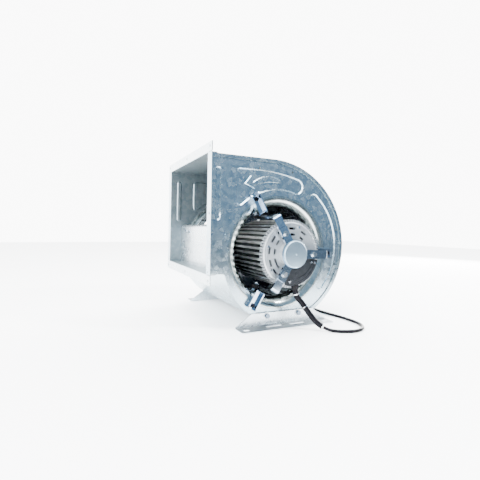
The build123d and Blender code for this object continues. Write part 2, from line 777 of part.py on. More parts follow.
SHIELD_EDGE_R = MOTOR_R - 0.3
SHIELD_RIBS = [48.5, 62.0]
RIB_HALF = 0.9
RIB_H = 1.0
SPIGOT_LENGTH = 8.0
SPIGOT_IN_R = BORE_R - 3
VENT_HALF = 2.5
VENT_SWEEP = 16.0
SLOT_ROWS = {
    55.0: [55, 88, 121, 145, 172, 200, 223],
    42.0: [51, 85, 145, 173, 201, 216],
}

with BuildPart() as end_shield_outer:
    with BuildSketch(SECTION):
        with BuildLine():
            Polyline(
                (0, -STRAP_BACK),
                (HUB_R, -STRAP_BACK),
                (HUB_R, -END_FACE),
                (66.5, -END_FACE),
                (SHIELD_EDGE_R, -END_FACE + 2),
                (SHIELD_EDGE_R, -MOTOR_FRONT),
                (BORE_R, -MOTOR_FRONT),
                (BORE_R, -MOTOR_FRONT + SPIGOT_LENGTH),
                (SPIGOT_IN_R, -MOTOR_FRONT + SPIGOT_LENGTH),
                (SPIGOT_IN_R, -MOTOR_FRONT),
                (24, -MOTOR_FRONT),
                (20, -MOTOR_FRONT + 2),
                (BEARING_OUT_R, -MOTOR_FRONT + 2),
                (BEARING_OUT_R, -POCKET_END),
                (0, -POCKET_END),
                close=True,
            )
        make_face()
    revolve(axis=SHAFT_AXIS)
    # toothed rim
    with BuildSketch(SIDE.offset(TOOTH_FRONT)):
        Circle(SHIELD_EDGE_R)
        with PolarLocations((MOTOR_R + FIN_R) / 2 - 1, TOOTH_COUNT):
            Rectangle(FIN_R - MOTOR_R + 2, 3.4)
        Circle(BORE_R, mode=Mode.SUBTRACT)
    extrude(amount=MOTOR_FRONT - TOOTH_FRONT)
    # ribs that stand on the face
    with BuildSketch(SIDE.offset(END_FACE)):
        for radius in SHIELD_RIBS:
            Circle(radius + RIB_HALF)
            Circle(radius - RIB_HALF, mode=Mode.SUBTRACT)
    extrude(amount=RIB_H)
    with BuildSketch(SIDE.offset(END_FACE)):
        for radius, angles in SLOT_ROWS.items():
            for angle in angles:
                add(sector(radius + VENT_HALF, radius - VENT_HALF, angle - VENT_SWEEP / 2, VENT_SWEEP))
    extrude(amount=10, both=True, mode=Mode.SUBTRACT)
    with BuildSketch(SIDE.offset(END_FACE + 1)):
        for radius, angle in SHIELD_SCREWS:
            with PolarLocations(radius, 1, angle):
                Circle(SHIELD_SCREW_R)
        with PolarLocations(HUB_SCREW_R, 3, HUB_SCREW_ANGLE):
            Circle(2.5)
    extrude(amount=-14, both=True, mode=Mode.SUBTRACT)
    with BuildSketch(SIDE.offset(END_FACE)):
        for radius, angle in SHIELD_SCREWS:
            with PolarLocations(radius, 1, angle):
                Circle(4)
    extrude(amount=2, mode=Mode.SUBTRACT)
    with BuildSketch(LEAD_EXIT):
        Circle(LEAD_HOLE_R)
    extrude(amount=40, mode=Mode.SUBTRACT)
    with BuildSketch(radial_plane(RELIEF_FROM_R, LEAD_ANGLE, LEAD_Y)):
        Circle(RELIEF_R)
    extrude(amount=10, mode=Mode.SUBTRACT)
save(end_shield_outer, "end_shield_outer")

with BuildPart() as end_shield_inner:
    with BuildSketch(SECTION):
        with BuildLine():
            Polyline(
                (RACE_R, -MOTOR_BACK + 3.5),
                (22, -MOTOR_BACK + 3.5),
                (26, -MOTOR_BACK + 2),
                (MOTOR_R - 2, -MOTOR_BACK + 2),
                (SHIELD_EDGE_R, -MOTOR_BACK),
                (BORE_R, -MOTOR_BACK),
                (BORE_R, -MOTOR_BACK - SPIGOT_LENGTH),
                (SPIGOT_IN_R, -MOTOR_BACK - SPIGOT_LENGTH),
                (SPIGOT_IN_R, -MOTOR_BACK - 2),
                (22, -MOTOR_BACK - 2),
                (21, -MOTOR_BACK - 12),
                (BEARING_OUT_R, -MOTOR_BACK - 12),
                (BEARING_OUT_R, -MOTOR_BACK - 1),
                (RACE_R, -MOTOR_BACK - 1),
                close=True,
            )
        make_face()
    revolve(axis=SHAFT_AXIS)
    with BuildSketch(SIDE.offset(MOTOR_BACK)):
        with PolarLocations(44, 10, 18):
            SlotOverall(14, 6, rotation=90)
    extrude(amount=10, both=True, mode=Mode.SUBTRACT)
save(end_shield_inner, "end_shield_inner")

with BuildPart() as end_shield_screws:
    for radius, angle in SHIELD_SCREWS:
        place = at_shaft(radius, angle, -END_FACE)
        seat = Plane(origin=place, x_dir=(1, 0, 0), z_dir=(0, -1, 0))
        with BuildSketch(seat):
            Circle(3.6)
        extrude(amount=2.4, taper=15)
        with BuildSketch(seat.offset(2.4)):
            Rectangle(4.2, 0.9)
            Rectangle(0.9, 4.2)
        extrude(amount=-1.2, mode=Mode.SUBTRACT)
        with BuildSketch(seat):
            Circle(SHIELD_SCREW_R)
        extrude(amount=-6)
save(end_shield_screws, "end_shield_screws")

# ---- terminal cover ---------------------------------------------------------------------------
COVER_FROM = -104.0
COVER_SWEEP = 92.0
COVER_STEPS = [(69.0, 3.5), (49.0, 5.5), (41.0, 7.5)]
COVER_RIBS = [57.0, 65.0]
COVER_SCREWS = [(53.5, -21.0), (63.5, -19.0), (60.5, -96.0)]
COVER_SCREW_R = 1.6
COVER_BOSS_R = 3.6
RIB_TOP = END_FACE + RIB_H

with BuildPart() as terminal_cover:
    for outer_r, height in COVER_STEPS:
        with BuildSketch(SIDE.offset(RIB_TOP)):
            add(sector(outer_r, HUB_R + 0.3, COVER_FROM, COVER_SWEEP))
        extrude(amount=height)
    with BuildSketch(SIDE.offset(RIB_TOP)):
        add(sector(COVER_STEPS[0][0] - 1.5, HUB_R + 1.8, COVER_FROM + 2, COVER_SWEEP - 4))
    extrude(amount=COVER_STEPS[0][1] - 1.5, mode=Mode.SUBTRACT)
    with BuildSketch(SIDE.offset(RIB_TOP)):
        for radius, angle in COVER_SCREWS:
            with PolarLocations(radius, 1, angle):
                Circle(COVER_BOSS_R)
    extrude(amount=COVER_STEPS[0][1])
    with BuildSketch(SIDE.offset(RIB_TOP)):
        for radius, angle in COVER_SCREWS:
            with PolarLocations(radius, 1, angle):
                Circle(COVER_SCREW_R)
    extrude(amount=12, mode=Mode.SUBTRACT)
    with BuildSketch(SIDE.offset(RIB_TOP + COVER_STEPS[0][1])):
        for radius in COVER_RIBS:
            add(sector(radius + RIB_HALF, radius - RIB_HALF, COVER_FROM + 3, COVER_SWEEP - 6))
        for radius, angle in COVER_SCREWS:
            with PolarLocations(radius, 1, angle):
                Circle(COVER_BOSS_R, mode=Mode.SUBTRACT)
    extrude(amount=1.3)
    # knob that marks the earth terminal
    with BuildSketch(SIDE.offset(RIB_TOP + COVER_STEPS[1][1])):
        with PolarLocations(45, 1, -76):
            Circle(3)
    extrude(amount=1.5, taper=15)
    with BuildSketch(LEAD_EXIT):
        Circle(LEAD_HOLE_R)
    extrude(amount=40, mode=Mode.SUBTRACT)
save(terminal_cover, "terminal_cover")

with BuildPart() as terminal_cover_screws:
    for radius, angle in COVER_SCREWS:
        top = COVER_STEPS[0][1]
        place = at_shaft(radius, angle, -RIB_TOP - top)
        seat = Plane(origin=place, x_dir=(1, 0, 0), z_dir=(0, -1, 0))
        with BuildSketch(seat):
            Circle(3.2)
        extrude(amount=1.8, taper=20)
        with BuildSketch(seat.offset(1.8)):
            Rectangle(3.6, 0.8)
            Rectangle(0.8, 3.6)
        extrude(amount=-0.9, mode=Mode.SUBTRACT)
        with BuildSketch(seat):
            Circle(COVER_SCREW_R)
        extrude(amount=-top)
save(terminal_cover_screws, "terminal_cover_screws")

# ---- inside the motor -------------------------------------------------------------------------
CORE_LENGTH = CORE_Y[1] - CORE_Y[0]
STATOR_SLOTS = 24
STATOR_IN_R = 35.0
ROTOR_R = 34.5
WINDING_R = 47.0

with BuildPart() as stator_core:
    with BuildSketch(SIDE.offset(-CORE_Y[0])):
        Circle(BORE_R)
        Circle(STATOR_IN_R, mode=Mode.SUBTRACT)
        with PolarLocations(WINDING_R, STATOR_SLOTS):
            Rectangle(14, 5, mode=Mode.SUBTRACT)
        with PolarLocations(38, STATOR_SLOTS):
            Rectangle(8, 2, mode=Mode.SUBTRACT)
    extrude(amount=-CORE_LENGTH)
save(stator_core, "stator_core")

with BuildPart() as stator_windings:
    with BuildSketch(SIDE.offset(-CORE_Y[0])):
        with PolarLocations(WINDING_R, STATOR_SLOTS):
            Rectangle(13, 4.4)
    extrude(amount=-CORE_LENGTH)
    for start, end in ((-183, CORE_Y[0]), (CORE_Y[1], -59)):
        with BuildSketch(SECTION):
            with Locations((48, (start + end) / 2)):
                RectangleRounded(19, end - start, 4)
        revolve(axis=SHAFT_AXIS)
save(stator_windings, "stator_windings")


def ball_bearing_shell(front):
    """Outer race and shields; front is the bearing's face on the motor side."""
    with BuildPart() as shell:
        with BuildSketch(SECTION):
            with Locations(((BEARING_OUT_R + SHIELD_IN_R) / 2, -front + BEARING_W / 2)):
                Rectangle(BEARING_OUT_R - SHIELD_IN_R, BEARING_W)
            with Locations(((BALL_GAP_R + SHIELD_IN_R) / 2, -front + BEARING_W / 2)):
                Rectangle(BALL_GAP_R - SHIELD_IN_R, BEARING_W - 1.6, mode=Mode.SUBTRACT)
        revolve(axis=SHAFT_AXIS)
    return shell


def ball_bearing_race(front):
    with BuildPart() as race:
        with BuildSketch(SECTION):
            with Locations(((SHAFT_R + RACE_R) / 2, -front + BEARING_W / 2)):
                Rectangle(RACE_R - SHAFT_R, BEARING_W)
        revolve(axis=SHAFT_AXIS)
    return race


for place, front in zip(("outer", "inner"), BEARING_FRONTS):
    save(ball_bearing_shell(front), f"bearing_shell_{place}")
    save(ball_bearing_race(front), f"bearing_race_{place}")

with BuildPart() as preload_washer:
    with BuildSketch(SIDE.offset(POCKET_END)):
        Circle(15.6)
        Circle(13, mode=Mode.SUBTRACT)
    extrude(amount=-1.5)
save(preload_washer, "preload_washer")

# ---- rotor and shaft --------------------------------------------------------------------------
SHAFT_ENDS = (-204.8, 24.0)
with BuildPart() as motor_shaft:
    with BuildSketch(SIDE.offset(-SHAFT_ENDS[0])):
        Circle(SHAFT_R)
    extrude(amount=SHAFT_ENDS[0] - SHAFT_ENDS[1])
    chamfer(motor_shaft.edges().filter_by(GeomType.CIRCLE), length=0.8)
save(motor_shaft, "motor_shaft")

with BuildPart() as rotor_core:
    with BuildSketch(SIDE.offset(-CORE_Y[0])):
        Circle(ROTOR_R)
        Circle(SHAFT_R, mode=Mode.SUBTRACT)
    extrude(amount=-CORE_LENGTH)
save(rotor_core, "rotor_core")

with BuildPart() as rotor_end_rings:
    for start, end in ((CORE_Y[0] - 7, CORE_Y[0]), (CORE_Y[1], CORE_Y[1] + 7)):
        with BuildSketch(SIDE.offset(-start)):
            Circle(34)
            Circle(22, mode=Mode.SUBTRACT)
        extrude(amount=start - end)
save(rotor_end_rings, "rotor_end_rings")

with BuildPart() as shaft_circlip:
    with BuildSketch(SIDE.offset(45.9)):
        Circle(8.6)
        Circle(SHAFT_R, mode=Mode.SUBTRACT)
        with Locations((0, -8)):
            Rectangle(3, 6, mode=Mode.SUBTRACT)
    extrude(amount=-1.1)
save(shaft_circlip, "shaft_circlip")

# ---- fan wheel --------------------------------------------------------------------------------
HUB_OUT_R = 14.0
HUB_FLANGE_R = 32.0
HUB_ENDS = (-28.0, 8.0)
HUB_RIVET_CIRCLE = 24.0
HUB_RIVET_R = 2.5
HUB_FLANGE = (-DISC_T / 2 - 3, -DISC_T / 2)
SET_SCREW_Y = -16.0

with BuildPart() as wheel_hub:
    with BuildSketch(SIDE.offset(-HUB_ENDS[0])):
        Circle(HUB_OUT_R)
    extrude(amount=HUB_ENDS[0] - HUB_ENDS[1])
    with BuildSketch(SIDE.offset(-HUB_FLANGE[0])):
        Circle(HUB_FLANGE_R)
    extrude(amount=HUB_FLANGE[0] - HUB_FLANGE[1])
    with BuildSketch(SIDE.offset(-HUB_ENDS[0])):
        Circle(SHAFT_R)
    extrude(amount=HUB_ENDS[0] - HUB_ENDS[1], mode=Mode.SUBTRACT)
    with BuildSketch(SIDE.offset(-HUB_FLANGE[0])):
        with PolarLocations(HUB_RIVET_CIRCLE, 6):
            Circle(HUB_RIVET_R)
    extrude(amount=HUB_FLANGE[0] - HUB_FLANGE[1], mode=Mode.SUBTRACT)
    with BuildSketch(radial_plane(SHAFT_R - 1, 90, SET_SCREW_Y)):
        Circle(3)
    extrude(amount=12, mode=Mode.SUBTRACT)
save(wheel_hub, "wheel_hub")

with BuildPart() as hub_set_screw:
    with BuildSketch(radial_plane(SHAFT_R, 90, SET_SCREW_Y)):
        Circle(3)
    extrude(amount=6.5)
    with BuildSketch(radial_plane(SHAFT_R + 6.5, 90, SET_SCREW_Y)):
        RegularPolygon(1.5, 6, major_radius=False)
    extrude(amount=-3, mode=Mode.SUBTRACT)
save(hub_set_screw, "hub_set_screw")

with BuildPart() as wheel_disc:
    with BuildSketch(SIDE.offset(DISC_T / 2)):
        Circle(WHEEL_R - 0.5)
        Circle(HUB_OUT_R, mode=Mode.SUBTRACT)
        with PolarLocations(HUB_RIVET_CIRCLE, 6):
            Circle(HUB_RIVET_R, mode=Mode.SUBTRACT)
    extrude(amount=-DISC_T)
save(wheel_disc, "wheel_disc")

with BuildPart() as hub_rivets:
    for y, way in ((HUB_FLANGE[0], -1), (DISC_T / 2, 1)):
        seat = Plane(origin=(SHAFT_X, y, SHAFT_Z), x_dir=(1, 0, 0), z_dir=(0, way, 0))
        with BuildSketch(seat):
            with PolarLocations(HUB_RIVET_CIRCLE, 6):
                Circle(4.2)
        extrude(amount=2, taper=30)
    with BuildSketch(SIDE.offset(-HUB_FLANGE[0])):
        with PolarLocations(HUB_RIVET_CIRCLE, 6):
            Circle(HUB_RIVET_R)
    extrude(amount=HUB_FLANGE[0] - DISC_T / 2)
save(hub_rivets, "hub_rivets")

RING_SHEET = 1.2
BLADE_LEAN = 5.0
BLADE_BOW = 3.0


def blade_row(start, end):
    """Forward-curved blades between two distances from the middle plane, along Y."""
    inner = polar(BLADE_IN_R + 0.3, 0)
    outer = polar(BLADE_OUT_R - 0.3, BLADE_LEAN)
    middle = polar((BLADE_IN_R + BLADE_OUT_R) / 2, BLADE_LEAN / 2)
    with BuildSketch(mode=Mode.PRIVATE) as blade:
        with BuildLine():
            ThreePointArc(inner, (middle[0], middle[1] - BLADE_BOW), outer)
            Line(outer, (outer[0], outer[1] + BLADE_T))
            ThreePointArc(
                (outer[0], outer[1] + BLADE_T),
                (middle[0], middle[1] - BLADE_BOW + BLADE_T),
                (inner[0], inner[1] + BLADE_T),
            )
            Line((inner[0], inner[1] + BLADE_T), inner)
        make_face()
    with BuildPart() as row:
        with BuildSketch(SIDE.offset(-start)):
            with PolarLocations(0, BLADE_COUNT):
                add(blade.sketch)
        extrude(amount=start - end)
    return row


blade_start = DISC_T / 2
blade_end = WHEEL_HALF - RING_SHEET
save(blade_row(-blade_end, -blade_start), "blades_motor_side")
save(blade_row(blade_start, blade_end), "blades_far_side")

with BuildPart() as wheel_ring_motor_side:
    with BuildSketch(SECTION):
        with BuildLine():
            Polyline(
                (BLADE_IN_R, -WHEEL_HALF),
                (WHEEL_R, -WHEEL_HALF),
                (WHEEL_R, -WHEEL_HALF + 9),
                (WHEEL_R - 0.8, -WHEEL_HALF + 9),
                (WHEEL_R - 0.8, -WHEEL_HALF + RING_SHEET),
                (BLADE_IN_R, -WHEEL_HALF + RING_SHEET),
                close=True,
            )
        make_face()
    revolve(axis=SHAFT_AXIS)

with BuildPart() as wheel_ring_far_side:
    mirror(wheel_ring_motor_side.part, about=Plane.XZ)

save(wheel_ring_motor_side, "wheel_ring_motor_side")
save(wheel_ring_far_side, "wheel_ring_far_side")

# ---- motor lead -------------------------------------------------------------------------------
with BuildPart() as strain_relief:
    with BuildSketch(radial_plane(58, LEAD_ANGLE, LEAD_Y)):
        Circle(LEAD_HOLE_R)
    extrude(amount=RELIEF_FROM_R - 58 + 1)
    with BuildSketch(radial_plane(RELIEF_FROM_R, LEAD_ANGLE, LEAD_Y)):
        Circle(RELIEF_R)
    extrude(amount=4)
    with BuildSketch(radial_plane(RELIEF_FROM_R + 4, LEAD_ANGLE, LEAD_Y)):
        Circle(RELIEF_R)
    with BuildSketch(radial_plane(RELIEF_TO_R, LEAD_ANGLE, LEAD_Y)):
        Circle(SLEEVE_D / 2 + 0.6)
    loft()
save(strain_relief, "strain_relief")

# the lead hangs from the motor, runs out over the floor and round behind the foot
LEAD_START = at_shaft(RELIEF_TO_R, LEAD_ANGLE, LEAD_Y)
SLEEVE_ROUTE = [
    at_shaft(94.0, LEAD_ANGLE, LEAD_Y),
    (14.5, -202.0, 60.0),
    (21.5, -206.5, 47.5),
    (31.5, -213.0, 31.5),
    (42.5, -221.5, 15.0),
]
FLOOR_ROUTE = [
    (57.0, -241.5, 3.6),
    (77.0, -259.0, 3.5),
    (102.0, -268.0, 3.5),
    (128.0, -265.0, 3.5),
    (149.0, -249.0, 3.5),
    (160.0, -225.0, 3.5),
    (162.0, -195.0, 3.5),
    (160.0, -160.0, 3.5),
    (154.0, -125.0, 3.5),
    (150.0, -90.0, 3.5),
    (152.0, -52.0, 3.5),
    (157.0, -18.0, 3.5),
]
COIL_R = 38.5
COIL_BAND = 15.0
COIL_H = 14.0
LEAD_END = (COIL_X + COIL_R + LEAD_D / 2, 12.0, LEAD_D / 2)
PLUG_Y = 78.0
PLUG_W = 20.0
PLUG_H = 13.0
PLUG_L = 26.0
TAIL_X = COIL_X + COIL_R - LEAD_D / 2
PLUG = Plane(origin=(TAIL_X, PLUG_Y, PLUG_H / 2), x_dir=(1, 0, 0), z_dir=(0, 1, 0))


def lead_tube(points, diameter):
    """Straight runs joined by arcs, each as large as its two runs allow."""
    path_points = [Vector(*p) for p in points]
    radii = []
    for before, here, after in zip(path_points, path_points[1:], path_points[2:]):
        turn = (here - before).get_angle(after - here)
        shorter = min((here - before).length, (after - here).length)
        radii.append(0.45 * shorter / math.tan(math.radians(turn / 2)))
    with BuildPart() as tube:
        with BuildLine():
            FilletPolyline(*path_points, radius=radii)
        with BuildSketch(Plane(path_points[0], z_dir=path_points[1] - path_points[0])):
            Circle(diameter / 2)
        sweep()
    return tube


last = SLEEVE_ROUTE[-1]
sleeve_end = tuple((a + b) / 2 for a, b in zip(last, FLOOR_ROUTE[0]))
lead_sleeve = lead_tube([LEAD_START, *SLEEVE_ROUTE, sleeve_end], SLEEVE_D)
save(lead_sleeve, "lead_sleeve")

with BuildPart() as lead_coil:
    with BuildSketch(Plane.XZ):
        with Locations((COIL_R, COIL_H / 2)):
            RectangleRounded(COIL_BAND, COIL_H, 3)
    revolve(axis=Axis.Z)
lead_coil.part.move(Location((COIL_X, COIL_Y, 0)))
save(lead_coil, "lead_coil")

floor_tube = lead_tube([sleeve_end, *FLOOR_ROUTE, LEAD_END], LEAD_D)
tail_z = COIL_H - LEAD_D / 2
TAIL = [(TAIL_X, 40, tail_z), (TAIL_X, 60, PLUG_H / 2), (TAIL_X, PLUG_Y, PLUG_H / 2)]
tail_tube = lead_tube(TAIL, LEAD_D)
with BuildPart() as lead_cable:
    add(floor_tube.part)
    add(tail_tube.part)
    add(lead_coil.part, mode=Mode.SUBTRACT)
save(lead_cable, "lead_cable")

with BuildPart() as lead_connector:
    with BuildSketch(PLUG):
        RectangleRounded(PLUG_W, PLUG_H, 2)
    extrude(amount=PLUG_L)
    with BuildSketch(PLUG.offset(PLUG_L)):
        with GridLocations(5.6, 1, 3, 1):
            Rectangle(3.6, 6)
    extrude(amount=-8, mode=Mode.SUBTRACT)
save(lead_connector, "lead_connector")
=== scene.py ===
import json
import math

import bpy
from mathutils import Matrix, Vector


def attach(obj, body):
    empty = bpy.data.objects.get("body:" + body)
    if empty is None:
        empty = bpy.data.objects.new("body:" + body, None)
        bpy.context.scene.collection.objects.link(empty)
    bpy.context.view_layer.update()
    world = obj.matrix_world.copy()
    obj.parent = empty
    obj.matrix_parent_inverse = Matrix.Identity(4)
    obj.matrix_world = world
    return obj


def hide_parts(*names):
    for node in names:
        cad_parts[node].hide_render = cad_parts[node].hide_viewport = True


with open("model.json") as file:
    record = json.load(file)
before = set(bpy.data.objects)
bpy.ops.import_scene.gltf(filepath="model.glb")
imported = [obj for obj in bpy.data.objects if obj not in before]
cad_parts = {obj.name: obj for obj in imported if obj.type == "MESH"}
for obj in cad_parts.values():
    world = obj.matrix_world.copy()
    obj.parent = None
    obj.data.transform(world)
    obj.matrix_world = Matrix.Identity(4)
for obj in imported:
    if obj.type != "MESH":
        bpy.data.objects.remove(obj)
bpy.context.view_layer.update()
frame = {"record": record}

# Looks of the double-inlet blower. Metres; the shaft runs along Y at (SHAFT_X, SHAFT_Z), the
# motor side faces -Y and the outlet faces -X.
SPIN = frame["record"]["behaviour"]["joints"][0]["pos_m"]
SHAFT_X, SHAFT_Z = SPIN[0], SPIN[2]

CAMERA_PLACE = (-0.4377, -0.8202, 0.2195)
CAMERA_YAW, CAMERA_PITCH, CAMERA_ROLL = 0.443, 0.016, 0.016
LENS = 25.80
SENSOR = 36
SHIFT_X, SHIFT_Y = 0.0072, -0.0380

FLOOR_HALF = 4.0
WORLD_STRENGTH = 10.0
FRONT = (0.38, -0.92, 0.0)  # the way a motor-side face sends the camera's view
WHITE = (1, 1, 1, 1)
DUSK = (0.05, 0.08, 0.10, 1)
NIGHT = (0.03, 0.048, 0.068, 1)
WORLD_FADE = [(0.14, WHITE), (0.36, DUSK), (0.85, NIGHT)]  # share of FRONT, colour
# the floor's painted shade: the floor turns dark blue between these distances along FRONT
FLOOR_SHADE_FADE = (0.56, 0.70)  # metres along FRONT
FLOOR_SHADE_COLOUR = (0.008, 0.014, 0.02, 1)


# ---- camera, floor and light ----------------------------------------------------------------
def place_camera():
    yaw, pitch, roll = CAMERA_YAW, CAMERA_PITCH, CAMERA_ROLL
    forward = Vector(
        (math.sin(yaw) * math.cos(pitch), math.cos(yaw) * math.cos(pitch), math.sin(pitch))
    )
    right = Vector((math.cos(yaw), -math.sin(yaw), 0))
    up = right.cross(forward)
    tilted_right = math.cos(roll) * right + math.sin(roll) * up
    tilted_up = -math.sin(roll) * right + math.cos(roll) * up
    turn = Matrix((tilted_right, tilted_up, -forward)).transposed().to_4x4()
    data = bpy.data.cameras.new("camera")
    data.lens = LENS
    data.sensor_width = SENSOR
    data.shift_x = SHIFT_X
    data.shift_y = SHIFT_Y
    camera = bpy.data.objects.new("camera", data)
    camera.matrix_world = Matrix.Translation(CAMERA_PLACE) @ turn
    bpy.context.collection.objects.link(camera)
    bpy.context.scene.camera = camera


def area_light(name, place, target, size, power):
    data = bpy.data.lights.new(name, "AREA")
    data.shape = "RECTANGLE"
    data.size, data.size_y = size
    data.energy = power
    light = bpy.data.objects.new(name, data)
    light.location = place
    light.rotation_euler = (Vector(target) - Vector(place)).to_track_quat("-Z", "Y").to_euler()
    bpy.context.collection.objects.link(light)


def studio():
    mesh = bpy.data.meshes.new("floor")
    half = FLOOR_HALF
    corners = [(-half, -half, 0), (half, -half, 0), (half, half, 0), (-half, half, 0)]
    mesh.from_pydata(corners, [], [(0, 1, 2, 3)])
    floor = bpy.data.objects.new("floor", mesh)
    bpy.context.collection.objects.link(floor)
    floor.data.materials.append(floor_material())
    area_light("key", (1.6, -1.5, 1.9), (0, 0, 0.15), (0.3, 0.3), 120)
    area_light("left", (-2.0, -0.9, 0.9), (0, 0, 0.2), (1.2, 1.2), 90)
    area_light("right", (2.0, 0.95, 0.8), (0, 0, 0.2), (1.0, 1.0), 120)
    area_light("top", (-0.2, -0.5, 1.9), (0, 0, 0.1), (1.6, 0.8), 60)


def world_light():
    """White studio all round, with a dark blue side that faces the fan's motor end."""
    world = bpy.data.worlds.new("studio")
    world.use_nodes = True
    bpy.context.scene.world = world
    nodes, links = world.node_tree.nodes, world.node_tree.links
    back = nodes["Background"]
    where = nodes.new("ShaderNodeTexCoord")
    toward = nodes.new("ShaderNodeVectorMath")
    toward.operation = "DOT_PRODUCT"
    toward.inputs[1].default_value = FRONT
    links.new(where.outputs["Generated"], toward.inputs[0])
    ramp = nodes.new("ShaderNodeValToRGB")
    stops = ramp.color_ramp.elements
    stops.new(WORLD_FADE[1][0])
    for stop, (position, colour) in zip(stops, WORLD_FADE):
        stop.position = position
        stop.color = colour
    links.new(toward.outputs["Value"], ramp.inputs[0])
    links.new(ramp.outputs[0], back.inputs["Color"])
    back.inputs["Strength"].default_value = WORLD_STRENGTH


# ---- materials ------------------------------------------------------------------------------
SIDEWAYS = (0, 1, 0)
AROUND = (1, 0, 1)
UPRIGHT = (0, 0, 1)
INSIDE_ROUGH = (0.5, 0.5, 0.5, 1)
# the fins' painted shade fades from the groove floor (GROOVE_R) to the fin tips (FIN_R)
GROOVE_R = 0.0700
FIN_R = 0.0738


class Shader:
    """A Principled material with short calls for its texture nodes."""

    def __init__(self, name):
        self.material = bpy.data.materials.new(name)
        self.material.use_nodes = True
        self.nodes = self.material.node_tree.nodes
        self.links = self.material.node_tree.links
        self.principled = self.nodes["Principled BSDF"]
        place = self.nodes.new("ShaderNodeTexCoord")
        self.where = place.outputs["Object"]
        self.normal = place.outputs["Normal"]

    def set(self, **values):
        for key, value in values.items():
            self.principled.inputs[key.replace("_", " ")].default_value = value

    def mapped(self, scale):
        mapping = self.nodes.new("ShaderNodeMapping")
        mapping.inputs["Scale"].default_value = scale
        self.links.new(self.where, mapping.inputs["Vector"])
        return mapping.outputs[0]

    def noise(self, scale, detail=3, rough=0.55, stretch=None):
        node = self.nodes.new("ShaderNodeTexNoise")
        node.inputs["Scale"].default_value = scale
        node.inputs["Detail"].default_value = detail
        node.inputs["Roughness"].default_value = rough
        source = self.where if stretch is None else self.mapped(stretch)
        self.links.new(source, node.inputs["Vector"])
        return node.outputs["Fac"]

    def cells(self, scale):
        node = self.nodes.new("ShaderNodeTexVoronoi")
        node.inputs["Scale"].default_value = scale
        self.links.new(self.where, node.inputs["Vector"])
        split = self.nodes.new("ShaderNodeSeparateColor")
        self.links.new(node.outputs["Color"], split.inputs[0])
        return split.outputs[0]

    def ramp(self, value, low, high, start=0.0, end=1.0):
        node = self.nodes.new("ShaderNodeValToRGB")
        node.color_ramp.elements[0].position = start
        node.color_ramp.elements[1].position = end
        node.color_ramp.elements[0].color = (*low, 1)
        node.color_ramp.elements[1].color = (*high, 1)
        self.links.new(value, node.inputs[0])
        return node.outputs[0]

    def span(self, value, low, high, start=0.0, end=1.0):
        node = self.nodes.new("ShaderNodeMapRange")
        node.inputs["From Min"].default_value = start
        node.inputs["From Max"].default_value = end
        node.inputs["To Min"].default_value = low
        node.inputs["To Max"].default_value = high
        self.links.new(value, node.inputs["Value"])
        return node.outputs[0]

    def mix(self, a, b, amount, kind="MULTIPLY"):
        node = self.nodes.new("ShaderNodeMix")
        node.data_type = "RGBA"
        node.blend_type = kind
        self.feed(node.inputs[0], amount)
        self.feed(node.inputs[6], a)
        self.feed(node.inputs[7], b)
        return node.outputs[2]

    def feed(self, socket, value):
        if isinstance(value, bpy.types.NodeSocket):
            self.links.new(value, socket)
        else:
            socket.default_value = value

    def vector(self, operation, a, b):
        node = self.nodes.new("ShaderNodeVectorMath")
        node.operation = operation
        self.feed(node.inputs[0], a)
        self.feed(node.inputs[1], b)
        one_number = operation in ("DOT_PRODUCT", "DISTANCE")
        return node.outputs["Value" if one_number else "Vector"]

    def bump(self, height, strength, distance):
        node = self.nodes.new("ShaderNodeBump")
        node.inputs["Strength"].default_value = strength
        node.inputs["Distance"].default_value = distance
        self.links.new(height, node.inputs["Height"])
        self.links.new(node.outputs[0], self.principled.inputs["Normal"])

    def to(self, key, value):
        self.links.new(value, self.principled.inputs[key])


def floor_material():
    """White table, painted dark blue in front of the fan: painted shade that stands in for the unlit
    surroundings the metal mirrors.
    """
    shader = Shader("floor_white")
    tone = shader.ramp(shader.noise(3.0), (0.95, 0.95, 0.955), (0.97, 0.97, 0.97))
    floor_shade = shader.span(shader.vector("DOT_PRODUCT", shader.where, FRONT), 0, 1, *FLOOR_SHADE_FADE)
    # painted shade on the floor in front of the fan
    tone = shader.mix(tone, FLOOR_SHADE_COLOUR, floor_shade, "MIX")
    shader.to("Base Color", tone)
    shader.set(Roughness=0.7, Specular_IOR_Level=0.2)
    return shader.material


def facing_inward(shader, weights):
    """1 where a housing face looks toward the shaft, 0 where it looks away from it; the mask for
    painted shade on inner faces.
    """
    from_shaft = shader.vector("SUBTRACT", shader.where, (SHAFT_X, 0, SHAFT_Z))
    weighed = shader.vector("MULTIPLY", from_shaft, weights)
    outward = shader.vector("DOT_PRODUCT", weighed, shader.normal)
    return shader.span(outward, 1, 0, -0.02, 0.0)


